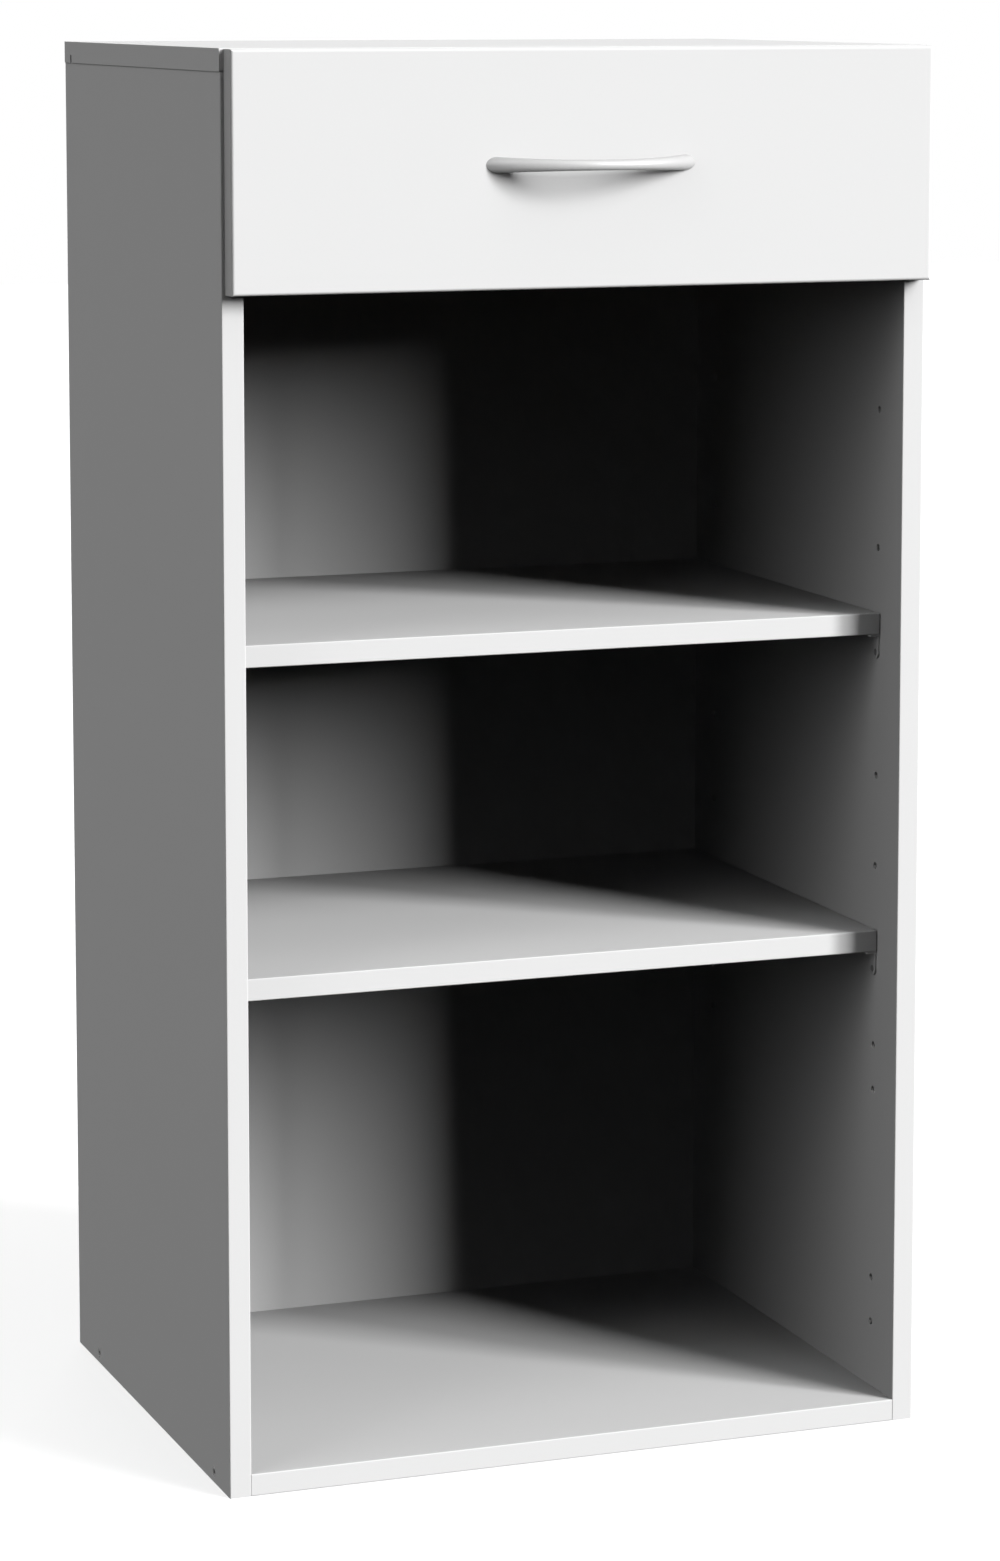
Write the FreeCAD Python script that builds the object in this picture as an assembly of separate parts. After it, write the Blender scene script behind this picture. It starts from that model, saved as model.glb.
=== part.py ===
import FreeCAD, Part
import math
import os

from FreeCAD import Vector

# An open shelf unit of laminated chipboard: two sides, a top, a bottom, a thin back, two loose
# shelves and one drawer under the top, which runs on a pair of roller runners.
#
# Millimetres, +Z up, +X to the right as seen from the front, +Y towards the wall. The origin is on
# the floor, at the centre of the carcass footprint. What exists on both sides is built at +X and
# mirrored to -X.

# ------------------------------------------------------------------ driving dimensions: carcass
CARCASS_WIDTH = 500.0
CARCASS_DEPTH = 380.0
CARCASS_HEIGHT = 960.0
SIDE_THICKNESS = 15.0
TOP_THICKNESS = 15.0
TOP_OVERHANG = 0.5          # the top stands this far past each side panel
BOTTOM_THICKNESS = 15.0
BAND_RADIUS = 0.8           # rounding of the banded edges of the boards

BACK_THICKNESS = 3.0
BACK_INSET = 15.4           # rear edge of the sides to the rear face of the back panel
BACK_FLOOR_GAP = 2.0
GROOVE_DEPTH = 5.5
GROOVE_PLAY = 0.2           # each side of a thin panel in its groove
GROOVE_END_PLAY = 0.5

# ------------------------------------------------------------------ driving dimensions: shelves
SHELF_THICKNESS = 15.0
SHELF_SETBACK = 31.5        # front edge of a shelf behind the front of the carcass
SHELF_END_PLAY = 1.0
SHELF_REAR_PLAY = 1.0
LOWER_SHELF_HEIGHT = 329.0  # undersides of the shelves above the floor
UPPER_SHELF_HEIGHT = 553.0

SYSTEM_PITCH = 32.0         # hole pitch of the side panels
FRONT_COLUMN = 37.0         # first column of holes behind the front edge
REAR_MARGIN = 50.0          # least distance of the last column from the rear edge
PIN_HOLE_RADIUS = 2.5
PIN_HOLE_DEPTH = 10.5
FIRST_ROW_HEIGHT = 229.0
ROW_STEPS = (0, 1, 5, 7, 12, 15)
DOOR_ROW_HEIGHT = 61.5      # the pair of holes for a door hinge, front column only

SUPPORT_DROP = 13.0         # underside of a shelf to the pin of its support
SUPPORT_WIDTH = 9.0
SUPPORT_STEEL = 1.5
SUPPORT_LEDGE = 9.0
SUPPORT_CORNER_RADIUS = 2.0
SUPPORT_PIN_REACH = 9.0

# ------------------------------------------------------------------ driving dimensions: fixings
FIT = 0.05                  # radial clearance of a fixing or an axle in its hole
HOLE_END_PLAY = 0.5
FLUSH_GAP = 0.1             # a flush piece stays this far below the surface

CONFIRMAT_HEAD_RADIUS = 3.5
CONFIRMAT_HEAD_LENGTH = 2.2
CONFIRMAT_RADIUS = 2.5
CONFIRMAT_LENGTH = 50.0
HEX_KEY_SIZE = 3.0

DOWEL_RADIUS = 4.0
DOWEL_LENGTH = 30.0
DOWEL_SEAT = 9.5            # part of the dowel that sits in the face of a board
DOWEL_CHAMFER = 0.8
BOX_DOWEL_RADIUS = 3.0
BOX_DOWEL_LENGTH = 25.0

CAM_RADIUS = 7.5
CAM_DEPTH = 12.0
BOX_CAM_DEPTH = 9.0
CAM_DISTANCE = 24.0         # end of the board to the centre of the cam
CAM_BOLT_ANCHOR = 10.0      # thread in the face of the other board
CAM_BOLT_RADIUS = 2.5
CAM_BOLT_NECK_RADIUS = 1.9
CAM_BOLT_COLLAR_RADIUS = 3.7
CAM_BOLT_COLLAR_LENGTH = 2.0
CAM_BOLT_HEAD_RADIUS = 3.0
CAM_BOLT_HEAD_LENGTH = 5.0
CAM_BOLT_CHAMFER = 0.6
CAM_BOLT_PLAY = 0.3         # round the collar in its bore and round the head in the cam
CAM_SLOT_LENGTH = 8.2
CAM_SLOT_WIDTH = 1.2
CAM_SLOT_DEPTH = 1.8

NAIL_RADIUS = 0.8
NAIL_HEAD_RADIUS = 2.2
NAIL_HEAD_LENGTH = 0.7
NAIL_LENGTH = 16.0
BACK_NAIL_COUNT = 5
BOX_NAIL_COUNT = 3
NAIL_EDGE_MARGIN = 30.0

WOOD_SCREW_RADIUS = 1.75
WOOD_SCREW_HEAD_RADIUS = 3.4
WOOD_SCREW_HEAD_LENGTH = 1.9

# ------------------------------------------------------------------ driving dimensions: drawer
FRONT_HEIGHT = 158.0
FRONT_THICKNESS = 15.0
FRONT_INSET = 2.5           # each side of the front inside the outer face of the carcass
FRONT_TOP_GAP = 0.5         # below the upper face of the top
FRONT_GAP = 0.5             # front edge of the carcass to the rear face of the drawer front
FRONT_ROUNDING = 2.0

BOX_SIDE_THICKNESS = 12.0
BOX_BACK_THICKNESS = 12.0
BOX_LIFT = 16.5             # lower edge of the front to the lower edge of the drawer sides
BOX_TOP_GAP = 17.0          # drawer sides below the underside of the top
BOX_REAR_GAP = 8.0          # least distance of the drawer from the back panel
BOX_BOTTOM_THICKNESS = 3.0
BOX_GROOVE_HEIGHT = 10.0    # groove above the lower edge of the drawer sides
BOX_GROOVE_DEPTH = 5.0
BACK_SCREW_LENGTH = 35.0
BACK_SCREW_EDGE = 20.0      # upper screw of the drawer back below its upper edge
BACK_SCREW_ABOVE_RAIL = 12.0

HANDLE_SPACING = 128.0      # between the two screws
HANDLE_FOOT_OFFSET = 2.3    # centre of a foot outside its screw
HANDLE_HEIGHT = 82.0        # above the lower edge of the drawer front
HANDLE_REACH = 26.0         # centre line of the bow in front of the drawer front
HANDLE_END_DIAMETER = 10.6
HANDLE_MIDDLE_DIAMETER = 7.0
HANDLE_SECTION_COUNT = 11
HANDLE_SCREW_RADIUS = 2.0
HANDLE_SCREW_DEPTH = 5.5
HANDLE_SCREW_HEAD_RADIUS = 4.0
HANDLE_SCREW_HEAD_LENGTH = 2.6

# ------------------------------------------------------------------ driving dimensions: runners
RUNNER_WIDTH = 12.5         # space between a side panel and the drawer side
RUNNER_STEP = 50.0          # runners come in lengths of this step
RUNNER_SETBACK = 2.0        # channel behind the front edge of the carcass
RUNNER_REAR_MARGIN = 20.0
RAIL_SETBACK = 1.0          # rail behind the drawer front
STEEL = 1.2
BEND_RADIUS = 0.6           # inside radius of the bends
CHANNEL_DROP = 5.2          # lower edge of the drawer side above the base of the channel
CHANNEL_TOP_FLANGE = 8.0
CHANNEL_SCREW_LENGTH = 13.0
FLANGE_GAP = 2.0            # upper flange of the channel to the flange of the rail above it
SLIDE_GAP = 0.3             # sheet edges that pass each other
RAIL_EDGE_GAP = 2.0         # flange of the rail to the side panel
RAIL_LEDGE = 10.0           # flange under the drawer side
RAIL_SCREW_INSET = 5.0
RAIL_SCREW_REACH = 9.0
RAIL_SCREW_HEAD_RADIUS = 3.2
RAIL_SCREW_HEAD_LENGTH = 1.8
RAIL_SCREW_MARGIN = 50.0    # rail screws from the ends of the rail
DRAWER_TRAVEL_LOSS = 90.0   # the drawer opens this much less than the length of its runners

ROLLER_RADIUS = 12.0
ROLLER_WIDTH = 7.5
ROLLER_PLAY = 0.15          # between a roller and the flange that it runs on
ROLLER_HEADROOM = 0.6
ROLLER_SIDE_PLAY = 0.3
ROLLER_END_DISTANCE = 14.0  # axle of a roller from the end of its runner
ROLLER_HUB_RADIUS = 4.6
ROLLER_RIM = 2.6
ROLLER_RECESS = 2.0
ROLLER_CHAMFER = 0.5
AXLE_RADIUS = 2.5
AXLE_HEAD_RADIUS = 4.2
AXLE_HEAD_LENGTH = 0.7
STOP_HEIGHT = 3.0           # ridge in the channel that stops the drawer's roller
STOP_RAMP = 6.0
STOP_ROUNDING = 1.0
STOP_GAP = 0.4

# ------------------------------------------------------------------ places worked out from them
OUTER_X = CARCASS_WIDTH / 2
INNER_X = OUTER_X - SIDE_THICKNESS
FRONT_Y = -CARCASS_DEPTH / 2
REAR_Y = CARCASS_DEPTH / 2
SIDE_TOP_Z = CARCASS_HEIGHT - TOP_THICKNESS

BACK_REAR_Y = REAR_Y - BACK_INSET
BACK_FRONT_Y = BACK_REAR_Y - BACK_THICKNESS

FRONT_REAR_Y = FRONT_Y - FRONT_GAP
FRONT_FACE_Y = FRONT_REAR_Y - FRONT_THICKNESS
FRONT_HALF_WIDTH = OUTER_X - FRONT_INSET
FRONT_TOP_Z = CARCASS_HEIGHT - FRONT_TOP_GAP
FRONT_BOTTOM_Z = FRONT_TOP_Z - FRONT_HEIGHT

BOX_OUTER_X = INNER_X - RUNNER_WIDTH
BOX_INNER_X = BOX_OUTER_X - BOX_SIDE_THICKNESS
BOX_MIDDLE_X = (BOX_OUTER_X + BOX_INNER_X) / 2
BOX_BOTTOM_Z = FRONT_BOTTOM_Z + BOX_LIFT
BOX_TOP_Z = SIDE_TOP_Z - BOX_TOP_GAP
BOX_FLOOR_Z = BOX_BOTTOM_Z + BOX_GROOVE_HEIGHT + BOX_BOTTOM_THICKNESS

RUNNER_LENGTH = math.floor((BACK_FRONT_Y - FRONT_REAR_Y - BOX_REAR_GAP) / RUNNER_STEP) * RUNNER_STEP
BOX_REAR_Y = FRONT_REAR_Y + RUNNER_LENGTH
BOX_BACK_FRONT_Y = BOX_REAR_Y - BOX_BACK_THICKNESS
DRAWER_TRAVEL = RUNNER_LENGTH - DRAWER_TRAVEL_LOSS

CHANNEL_BASE_Z = BOX_BOTTOM_Z - CHANNEL_DROP
CHANNEL_FRONT_Y = FRONT_Y + RUNNER_SETBACK
CHANNEL_REAR_Y = CHANNEL_FRONT_Y + RUNNER_LENGTH
CHANNEL_HEIGHT = STEEL + 2 * ROLLER_RADIUS + ROLLER_HEADROOM + STEEL
RAIL_FRONT_Y = FRONT_REAR_Y + RAIL_SETBACK
RAIL_FLANGE_Z = CHANNEL_BASE_Z + CHANNEL_HEIGHT + FLANGE_GAP

DRAWER_ROLLER_Y = BOX_REAR_Y - ROLLER_END_DISTANCE
DRAWER_ROLLER_Z = CHANNEL_BASE_Z + STEEL + ROLLER_PLAY + ROLLER_RADIUS
CABINET_ROLLER_Y = CHANNEL_FRONT_Y + ROLLER_END_DISTANCE
CABINET_ROLLER_Z = RAIL_FLANGE_Z - ROLLER_PLAY - ROLLER_RADIUS

HANDLE_Z = FRONT_BOTTOM_Z + HANDLE_HEIGHT

RIGHT = Vector(1, 0, 0)
LEFT = Vector(-1, 0, 0)
REARWARD = Vector(0, 1, 0)
FORWARD = Vector(0, -1, 0)
UP = Vector(0, 0, 1)
DOWN = Vector(0, 0, -1)
ORIGIN = Vector(0, 0, 0)

TOLERANCE = 0.001
OVERSHOOT = 1.0             # a cutter that leaves a solid runs this far past its face


# ------------------------------------------------------------------ general shapes
def box(x_range, y_range, z_range):
    """Block between the given low and high coordinates."""
    size = [high - low for low, high in (x_range, y_range, z_range)]
    return Part.makeBox(*size, Vector(x_range[0], y_range[0], z_range[0]))


def revolved(outline, start, direction):
    """Ring or solid of revolution of a closed outline of (distance along the axis, radius)."""
    points = [Vector(radius, 0, distance) for distance, radius in outline]
    face = Part.Face(Part.makePolygon(points + points[:1]))
    solid = face.revolve(ORIGIN, UP, 360)
    solid.Placement = FreeCAD.Placement(start, FreeCAD.Rotation(UP, direction))
    return solid


def turned(profile, start, direction, growth=0.0):
    """Turned piece from (distance, radius) points; growth widens it into the bore that takes it."""
    grown = [(distance, radius + growth) for distance, radius in profile]
    outline = [(profile[0][0], 0.0)] + grown + [(profile[-1][0], 0.0)]
    return revolved(outline, start, direction)


def cylinder(start, direction, radius, length):
    """Round bar or bore."""
    return Part.makeCylinder(radius, length, start, direction)


def mirrored(shape):
    """The same shape on the other side of the middle plane."""
    return shape.mirror(ORIGIN, RIGHT)


def on_both_sides(shapes):
    """The given shapes and their mirror images, as one group."""
    return Part.makeCompound(list(shapes) + [mirrored(shape) for shape in shapes])


def edges_at(shape, **place):
    """Edges of a shape that lie wholly at the given x, y or z."""
    found = []
    for edge in shape.Edges:
        limits = edge.BoundBox
        spans = {"x": (limits.XMin, limits.XMax), "y": (limits.YMin, limits.YMax),
                 "z": (limits.ZMin, limits.ZMax)}
        if all(abs(end - value) < TOLERANCE for axis, value in place.items() for end in spans[axis]):
            found.append(edge)
    return found


def rounded_face(corners, to_point):
    """Flat face with a rounded outline, from (a, b, radius) corners; to_point places (a, b)."""
    edges = []
    joints = []
    for index, (a, b, radius) in enumerate(corners):
        corner = to_point(a, b)
        if radius == 0:
            joints.append((corner, corner))
            continue
        before = to_point(*corners[index - 1][:2]) - corner
        after = to_point(*corners[(index + 1) % len(corners)][:2]) - corner
        before.normalize()
        after.normalize()
        half_angle = before.getAngle(after) / 2
        middle = before + after
        middle.normalize()
        trim = radius / math.tan(half_angle)
        bulge = radius / math.sin(half_angle) - radius
        start = corner + before * trim
        end = corner + after * trim
        edges.append(Part.Arc(start, corner + middle * bulge, end).toShape())
        joints.append((start, end))
    for index, (_, leaving) in enumerate(joints):
        arriving = joints[(index + 1) % len(joints)][0]
        if leaving.distanceToPoint(arriving) > TOLERANCE:
            edges.append(Part.makeLine(leaving, arriving))
    return Part.Face(Part.Wire(Part.__sortEdges__(edges)))


def round_corners_z(solid, radius, *places):
    """Round the upright edges at the given (x, y) places."""
    edges = [edge for x, y in places for edge in edges_at(solid, x=x, y=y)]
    return solid.makeFillet(radius, edges)


# ------------------------------------------------------------------ the 32 mm hole system
def system_steps(length, rear_margin):
    """Whole pitches between the first and the last column on a board of this length."""
    return math.floor((length - FRONT_COLUMN - rear_margin) / SYSTEM_PITCH)


def column_places():
    """Y of the front and of the rear column."""
    front = FRONT_Y + FRONT_COLUMN
    return front, front + system_steps(CARCASS_DEPTH, REAR_MARGIN) * SYSTEM_PITCH


def shelf_heights():
    return LOWER_SHELF_HEIGHT, UPPER_SHELF_HEIGHT


def spare_rows():
    """Heights of the rows that stay free, up to the runner of the drawer."""
    rows = [FIRST_ROW_HEIGHT + step * SYSTEM_PITCH for step in ROW_STEPS]
    return [row for row in rows if row < FRONT_BOTTOM_Z - SYSTEM_PITCH]


def pin_bores():
    """Holes for shelf supports in both columns, and the two hinge holes in the front one."""
    support_rows = [height - SUPPORT_DROP for height in shelf_heights()]
    front, rear = column_places()
    places = [(y, z) for y in (front, rear) for z in spare_rows() + support_rows]
    places += [(front, DOOR_ROW_HEIGHT), (front, DOOR_ROW_HEIGHT + SYSTEM_PITCH)]
    return [cylinder(Vector(INNER_X, y, z), RIGHT, PIN_HOLE_RADIUS, PIN_HOLE_DEPTH) for y, z in places]


# ------------------------------------------------------------------ fixings of the carcass
def confirmat_profile():
    shank_start = CONFIRMAT_HEAD_LENGTH + CONFIRMAT_HEAD_RADIUS - CONFIRMAT_RADIUS
    tip_start = CONFIRMAT_LENGTH - CONFIRMAT_RADIUS
    return [(FLUSH_GAP, CONFIRMAT_HEAD_RADIUS), (CONFIRMAT_HEAD_LENGTH, CONFIRMAT_HEAD_RADIUS),
            (shank_start, CONFIRMAT_RADIUS), (tip_start, CONFIRMAT_RADIUS),
            (CONFIRMAT_LENGTH, CONFIRMAT_RADIUS / 2)]


def confirmat_starts():
    return [Vector(OUTER_X, y, BOTTOM_THICKNESS / 2) for y in column_places()]


def confirmat(start):
    """Screw with a straight thread and a hexagon socket, driven in from the outer face."""
    screw = turned(confirmat_profile(), start, LEFT)
    key_radius = HEX_KEY_SIZE / math.sqrt(3)
    corners = [Vector(0, key_radius * math.cos(angle), key_radius * math.sin(angle))
               for angle in [math.radians(60 * turn) for turn in range(6)]]
    hexagon = Part.Face(Part.makePolygon(corners + corners[:1]))
    hexagon.translate(start)
    return screw.cut(hexagon.extrude(LEFT * CONFIRMAT_HEAD_LENGTH))


def confirmat_bore(start):
    profile = [(-OVERSHOOT, CONFIRMAT_HEAD_RADIUS)] + confirmat_profile()[1:-1]
    profile.append((CONFIRMAT_LENGTH + HOLE_END_PLAY, CONFIRMAT_RADIUS))
    return turned(profile, start, LEFT, FIT)


def dowel_profile(radius, length):
    end_radius = radius - DOWEL_CHAMFER
    return [(0, end_radius), (DOWEL_CHAMFER, radius), (length - DOWEL_CHAMFER, radius), (length, end_radius)]


def dowel(crossing, into_face, radius=DOWEL_RADIUS, length=DOWEL_LENGTH):
    """Dowel across the joint at this point; into_face points into the board drilled in its face."""
    return turned(dowel_profile(radius, length), crossing + into_face * DOWEL_SEAT, into_face * -1)


def dowel_bore(crossing, into_face, radius=DOWEL_RADIUS, length=DOWEL_LENGTH):
    start = crossing + into_face * (DOWEL_SEAT + HOLE_END_PLAY)
    return cylinder(start, into_face * -1, radius + FIT, length + 2 * HOLE_END_PLAY)


def bottom_dowel_crossings():
    front, rear = column_places()
    return [Vector(INNER_X, (front + rear) / 2, BOTTOM_THICKNESS / 2)]


def top_dowel_crossings():
    """The dowels of the top stand one pitch inside its cam bolts."""
    front, rear = column_places()
    middle_x = (INNER_X + OUTER_X) / 2
    return [Vector(middle_x, y, SIDE_TOP_Z) for y in (front + SYSTEM_PITCH, rear - SYSTEM_PITCH)]


def top_cam_crossings():
    middle_x = (INNER_X + OUTER_X) / 2
    return [Vector(middle_x, y, SIDE_TOP_Z) for y in column_places()]


def cam_bolt(crossing, into_board):
    """Bolt anchored in the face of one board, with its head in the cam of the other."""
    collar_end = CAM_BOLT_ANCHOR + CAM_BOLT_COLLAR_LENGTH
    neck_start = collar_end + CAM_BOLT_COLLAR_RADIUS - CAM_BOLT_NECK_RADIUS
    head_start = CAM_BOLT_ANCHOR + CAM_DISTANCE - CAM_BOLT_HEAD_RADIUS
    head_end = head_start + CAM_BOLT_HEAD_LENGTH
    head_slope = CAM_BOLT_HEAD_RADIUS - CAM_BOLT_NECK_RADIUS
    profile = [(0, CAM_BOLT_RADIUS - CAM_BOLT_CHAMFER), (CAM_BOLT_CHAMFER, CAM_BOLT_RADIUS),
               (CAM_BOLT_ANCHOR, CAM_BOLT_RADIUS), (CAM_BOLT_ANCHOR, CAM_BOLT_COLLAR_RADIUS),
               (collar_end, CAM_BOLT_COLLAR_RADIUS), (neck_start, CAM_BOLT_NECK_RADIUS),
               (head_start, CAM_BOLT_NECK_RADIUS), (head_start + head_slope, CAM_BOLT_HEAD_RADIUS),
               (head_end - head_slope, CAM_BOLT_HEAD_RADIUS), (head_end, CAM_BOLT_NECK_RADIUS)]
    return turned(profile, crossing - into_board * CAM_BOLT_ANCHOR, into_board)


def cam_bolt_anchor_bore(crossing, into_board):
    depth = CAM_BOLT_ANCHOR + HOLE_END_PLAY
    return cylinder(crossing, into_board * -1, CAM_BOLT_RADIUS + FIT, depth)


def cam_bolt_end_bore(crossing, into_board):
    return cylinder(crossing, into_board, CAM_BOLT_COLLAR_RADIUS + CAM_BOLT_PLAY, CAM_DISTANCE)


def cam_mouth(crossing, into_board, to_face):
    """Centre of the cam on the face of its board; to_face leads there from the bolt's axis."""
    return crossing + into_board * CAM_DISTANCE + to_face


def cam(crossing, into_board, to_face, depth):
    """Round cam with the channel that takes the head of the bolt, and a cross slot."""
    mouth = cam_mouth(crossing, into_board, to_face)
    inward = Vector(to_face) * -1
    inward.normalize()
    body = cylinder(mouth + inward * FLUSH_GAP, inward, CAM_RADIUS - FIT, depth)
    bolt_axis = mouth - to_face
    channel_radius = CAM_BOLT_HEAD_RADIUS + CAM_BOLT_PLAY
    channel_start = bolt_axis + into_board * channel_radius
    channel = cylinder(channel_start, into_board * -1, channel_radius, 2 * CAM_RADIUS)
    across = into_board.cross(inward)
    slots = []
    for along, sideways in ((into_board, across), (across, into_board)):
        low = mouth - along * (CAM_SLOT_LENGTH / 2) - sideways * (CAM_SLOT_WIDTH / 2)
        high = low + along * CAM_SLOT_LENGTH
        across_slot = sideways * CAM_SLOT_WIDTH
        outline = [low, high, high + across_slot, low + across_slot, low]
        slots.append(Part.Face(Part.makePolygon(outline)).extrude(inward * CAM_SLOT_DEPTH))
    return body.cut([channel] + slots)


def cam_bore(crossing, into_board, to_face, depth):
    mouth = cam_mouth(crossing, into_board, to_face)
    inward = Vector(to_face) * -1
    inward.normalize()
    return cylinder(mouth, inward, CAM_RADIUS, depth + 2 * FLUSH_GAP)


def top_cam_face():
    return LEFT * (SIDE_THICKNESS / 2)


def nail(start, direction):
    """Nail with a flat head that lies on the sheet at the start point."""
    profile = [(-NAIL_HEAD_LENGTH, NAIL_HEAD_RADIUS), (0, NAIL_HEAD_RADIUS), (0, NAIL_RADIUS),
               (NAIL_LENGTH - 2 * NAIL_RADIUS, NAIL_RADIUS), (NAIL_LENGTH, NAIL_RADIUS / 4)]
    return turned(profile, start, direction)


def nail_bore(start, direction):
    back = start - direction * OVERSHOOT
    return cylinder(back, direction, NAIL_RADIUS + FIT, NAIL_LENGTH + OVERSHOOT + HOLE_END_PLAY)


def spread(low, high, count):
    """Evenly spaced places from low to high."""
    return [low + (high - low) * index / (count - 1) for index in range(count)]


def back_nail_starts():
    reach = INNER_X - NAIL_EDGE_MARGIN
    return [Vector(x, BACK_REAR_Y, BOTTOM_THICKNESS / 2) for x in spread(-reach, reach, BACK_NAIL_COUNT)]


# ------------------------------------------------------------------ carcass boards
def back_groove(x_range, z_range):
    groove_y = (BACK_FRONT_Y - GROOVE_PLAY, BACK_REAR_Y + GROOVE_PLAY)
    return box(x_range, groove_y, z_range)


def side_panel():
    """Right side: hole columns inside, groove for the back, bores for every fixing."""
    panel = box((INNER_X, OUTER_X), (FRONT_Y, REAR_Y), (0, SIDE_TOP_Z))
    panel = round_corners_z(panel, BAND_RADIUS, (INNER_X, FRONT_Y), (OUTER_X, FRONT_Y))
    groove_x = (INNER_X - OVERSHOOT, INNER_X + GROOVE_DEPTH)
    cutters = [back_groove(groove_x, (-OVERSHOOT, SIDE_TOP_Z + OVERSHOOT))]
    cutters += pin_bores()
    cutters += [confirmat_bore(start) for start in confirmat_starts()]
    cutters += [dowel_bore(crossing, RIGHT) for crossing in bottom_dowel_crossings()]
    cutters += [dowel_bore(crossing, UP) for crossing in top_dowel_crossings()]
    for crossing in top_cam_crossings():
        cutters.append(cam_bore(crossing, DOWN, top_cam_face(), CAM_DEPTH))
        cutters.append(cam_bolt_end_bore(crossing, DOWN))
    cutters += [wood_screw_bore(start, RIGHT, CHANNEL_SCREW_LENGTH) for start in channel_screw_starts()]
    return panel.cut(cutters)


def top_panel():
    """Top: lies on both sides, with the back groove run out through its ends."""
    half_width = OUTER_X + TOP_OVERHANG
    panel = box((-half_width, half_width), (FRONT_Y, REAR_Y), (SIDE_TOP_Z, CARCASS_HEIGHT))
    front_edges = edges_at(panel, y=FRONT_Y, z=SIDE_TOP_Z) + edges_at(panel, y=FRONT_Y, z=CARCASS_HEIGHT)
    panel = panel.makeFillet(BAND_RADIUS, front_edges)
    reach = half_width + OVERSHOOT
    cutters = [back_groove((-reach, reach), (SIDE_TOP_Z - OVERSHOOT, SIDE_TOP_Z + GROOVE_DEPTH))]
    bores = [dowel_bore(crossing, UP) for crossing in top_dowel_crossings()]
    bores += [cam_bolt_anchor_bore(crossing, DOWN) for crossing in top_cam_crossings()]
    return panel.cut(cutters + [on_both_sides(bores)])


def bottom_panel():
    """Bottom: stands on the floor between the sides; the back is nailed to its rear edge."""
    panel = box((-INNER_X, INNER_X), (FRONT_Y, BACK_FRONT_Y), (0, BOTTOM_THICKNESS))
    front_edges = edges_at(panel, y=FRONT_Y, z=0) + edges_at(panel, y=FRONT_Y, z=BOTTOM_THICKNESS)
    panel = panel.makeFillet(BAND_RADIUS, front_edges)
    bores = [confirmat_bore(start) for start in confirmat_starts()]
    bores += [dowel_bore(crossing, RIGHT) for crossing in bottom_dowel_crossings()]
    nails = [nail_bore(start, FORWARD) for start in back_nail_starts()]
    return panel.cut([on_both_sides(bores)] + nails)


def back_panel():
    """Thin back, in the grooves of the sides and the top."""
    half_width = INNER_X + GROOVE_DEPTH - GROOVE_END_PLAY
    top_z = SIDE_TOP_Z + GROOVE_DEPTH - GROOVE_END_PLAY
    panel = box((-half_width, half_width), (BACK_FRONT_Y, BACK_REAR_Y), (BACK_FLOOR_GAP, top_z))
    return panel.cut([nail_bore(start, FORWARD) for start in back_nail_starts()])


# ------------------------------------------------------------------ shelves and their supports
def shelf(height):
    half_width = INNER_X - SHELF_END_PLAY
    front_y = FRONT_Y + SHELF_SETBACK
    rear_y = BACK_FRONT_Y - SHELF_REAR_PLAY
    top_z = height + SHELF_THICKNESS
    board = box((-half_width, half_width), (front_y, rear_y), (height, top_z))
    front_edges = edges_at(board, y=front_y, z=height) + edges_at(board, y=front_y, z=top_z)
    return board.makeFillet(BAND_RADIUS, front_edges)


def shelf_support(y, shelf_height):
    """Bent steel bracket: a round-ended leg with the pin, and a ledge under the shelf."""
    half = SUPPORT_WIDTH / 2
    pin_z = shelf_height - SUPPORT_DROP
    leg_corners = [(y - half, pin_z - half, half - TOLERANCE), (y + half, pin_z - half, half - TOLERANCE),
                   (y + half, shelf_height, 0), (y - half, shelf_height, 0)]
    leg = rounded_face(leg_corners, lambda a, b: Vector(INNER_X, a, b)).extrude(LEFT * SUPPORT_STEEL)
    tip = INNER_X - SUPPORT_LEDGE
    corner = SUPPORT_CORNER_RADIUS
    ledge_corners = [(tip, y - half, corner), (tip, y + half, corner), (INNER_X, y + half, 0),
                     (INNER_X, y - half, 0)]
    ledge_z = shelf_height - SUPPORT_STEEL
    ledge = rounded_face(ledge_corners, lambda a, b: Vector(a, b, ledge_z)).extrude(UP * SUPPORT_STEEL)
    pin = cylinder(Vector(INNER_X, y, pin_z), RIGHT, PIN_HOLE_RADIUS - FIT, SUPPORT_PIN_REACH)
    return leg.fuse([ledge, pin]).removeSplitter()


def shelf_supports(shelf_height):
    return on_both_sides([shelf_support(y, shelf_height) for y in column_places()])


# ------------------------------------------------------------------ runners
def wood_screw_profile(length):
    return [(FLUSH_GAP, WOOD_SCREW_HEAD_RADIUS), (WOOD_SCREW_HEAD_LENGTH, WOOD_SCREW_RADIUS),
            (length - 2 * WOOD_SCREW_RADIUS, WOOD_SCREW_RADIUS), (length, WOOD_SCREW_RADIUS / 4)]


def wood_screw(start, direction, length):
    """Countersunk screw, flush with the surface at the start point."""
    return turned(wood_screw_profile(length), start, direction)


def wood_screw_bore(start, direction, length):
    profile = wood_screw_profile(length)
    profile = [(-OVERSHOOT, profile[0][1])] + profile[:-1] + [(length, WOOD_SCREW_RADIUS)]
    return turned(profile, start, direction, FIT)


def channel_screw_starts():
    """Three screws through the web of the channel, on the pitch of the side panel."""
    steps = system_steps(RUNNER_LENGTH, RUNNER_REAR_MARGIN)
    front = FRONT_Y + FRONT_COLUMN
    web_x = INNER_X - STEEL
    return [Vector(web_x, front + count * SYSTEM_PITCH, DRAWER_ROLLER_Z)
            for count in (0, steps // 2, steps)]


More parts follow.
